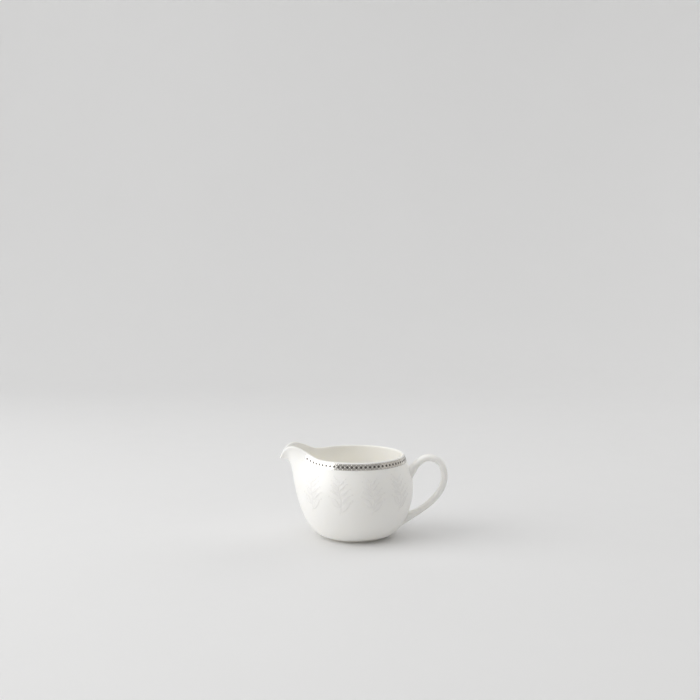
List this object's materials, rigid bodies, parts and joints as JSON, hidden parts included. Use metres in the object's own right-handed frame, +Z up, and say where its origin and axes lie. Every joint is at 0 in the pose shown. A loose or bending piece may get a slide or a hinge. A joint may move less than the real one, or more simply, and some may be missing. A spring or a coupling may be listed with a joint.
{
  "type": "cream jug",
  "caption": "Round-bellied porcelain cream jug with a pulled pouring lip, an ear-shaped loop handle, a low foot ring, a platinum band and raised white enamel sprays.",
  "frame": {"origin": "centre of the foot ring's resting face", "axes": "+Z up, -X towards the pouring lip, +X towards the handle"},
  "size_m": [0.1302, 0.0898, 0.0715],
  "materials": {
    "china": "clear gloss glaze on warm white bone china",
    "bisque": "glazed outside, wiped bare on the resting face",
    "platinum": "fired platinum lustre",
    "dark_platinum": "darker, less polished platinum lustre",
    "enamel": "raised white enamel, satin gloss"
  },
  "bodies": {
    "root": {"body": "china", "foot_ring": "bisque", "handle": "china", "upper_slip": "china", "lower_slip": "china", "platinum_band": "platinum", "lower_line": "platinum", "upper_line": "platinum", "lozenges": "dark_platinum", "beads": "platinum", "spray_1": "enamel", "spray_2": "enamel", "spray_3": "enamel", "spray_4": "enamel", "spray_5": "enamel", "spray_6": "enamel", "spray_7": "enamel", "spray_8": "enamel"}
  },
  "joints": []
}
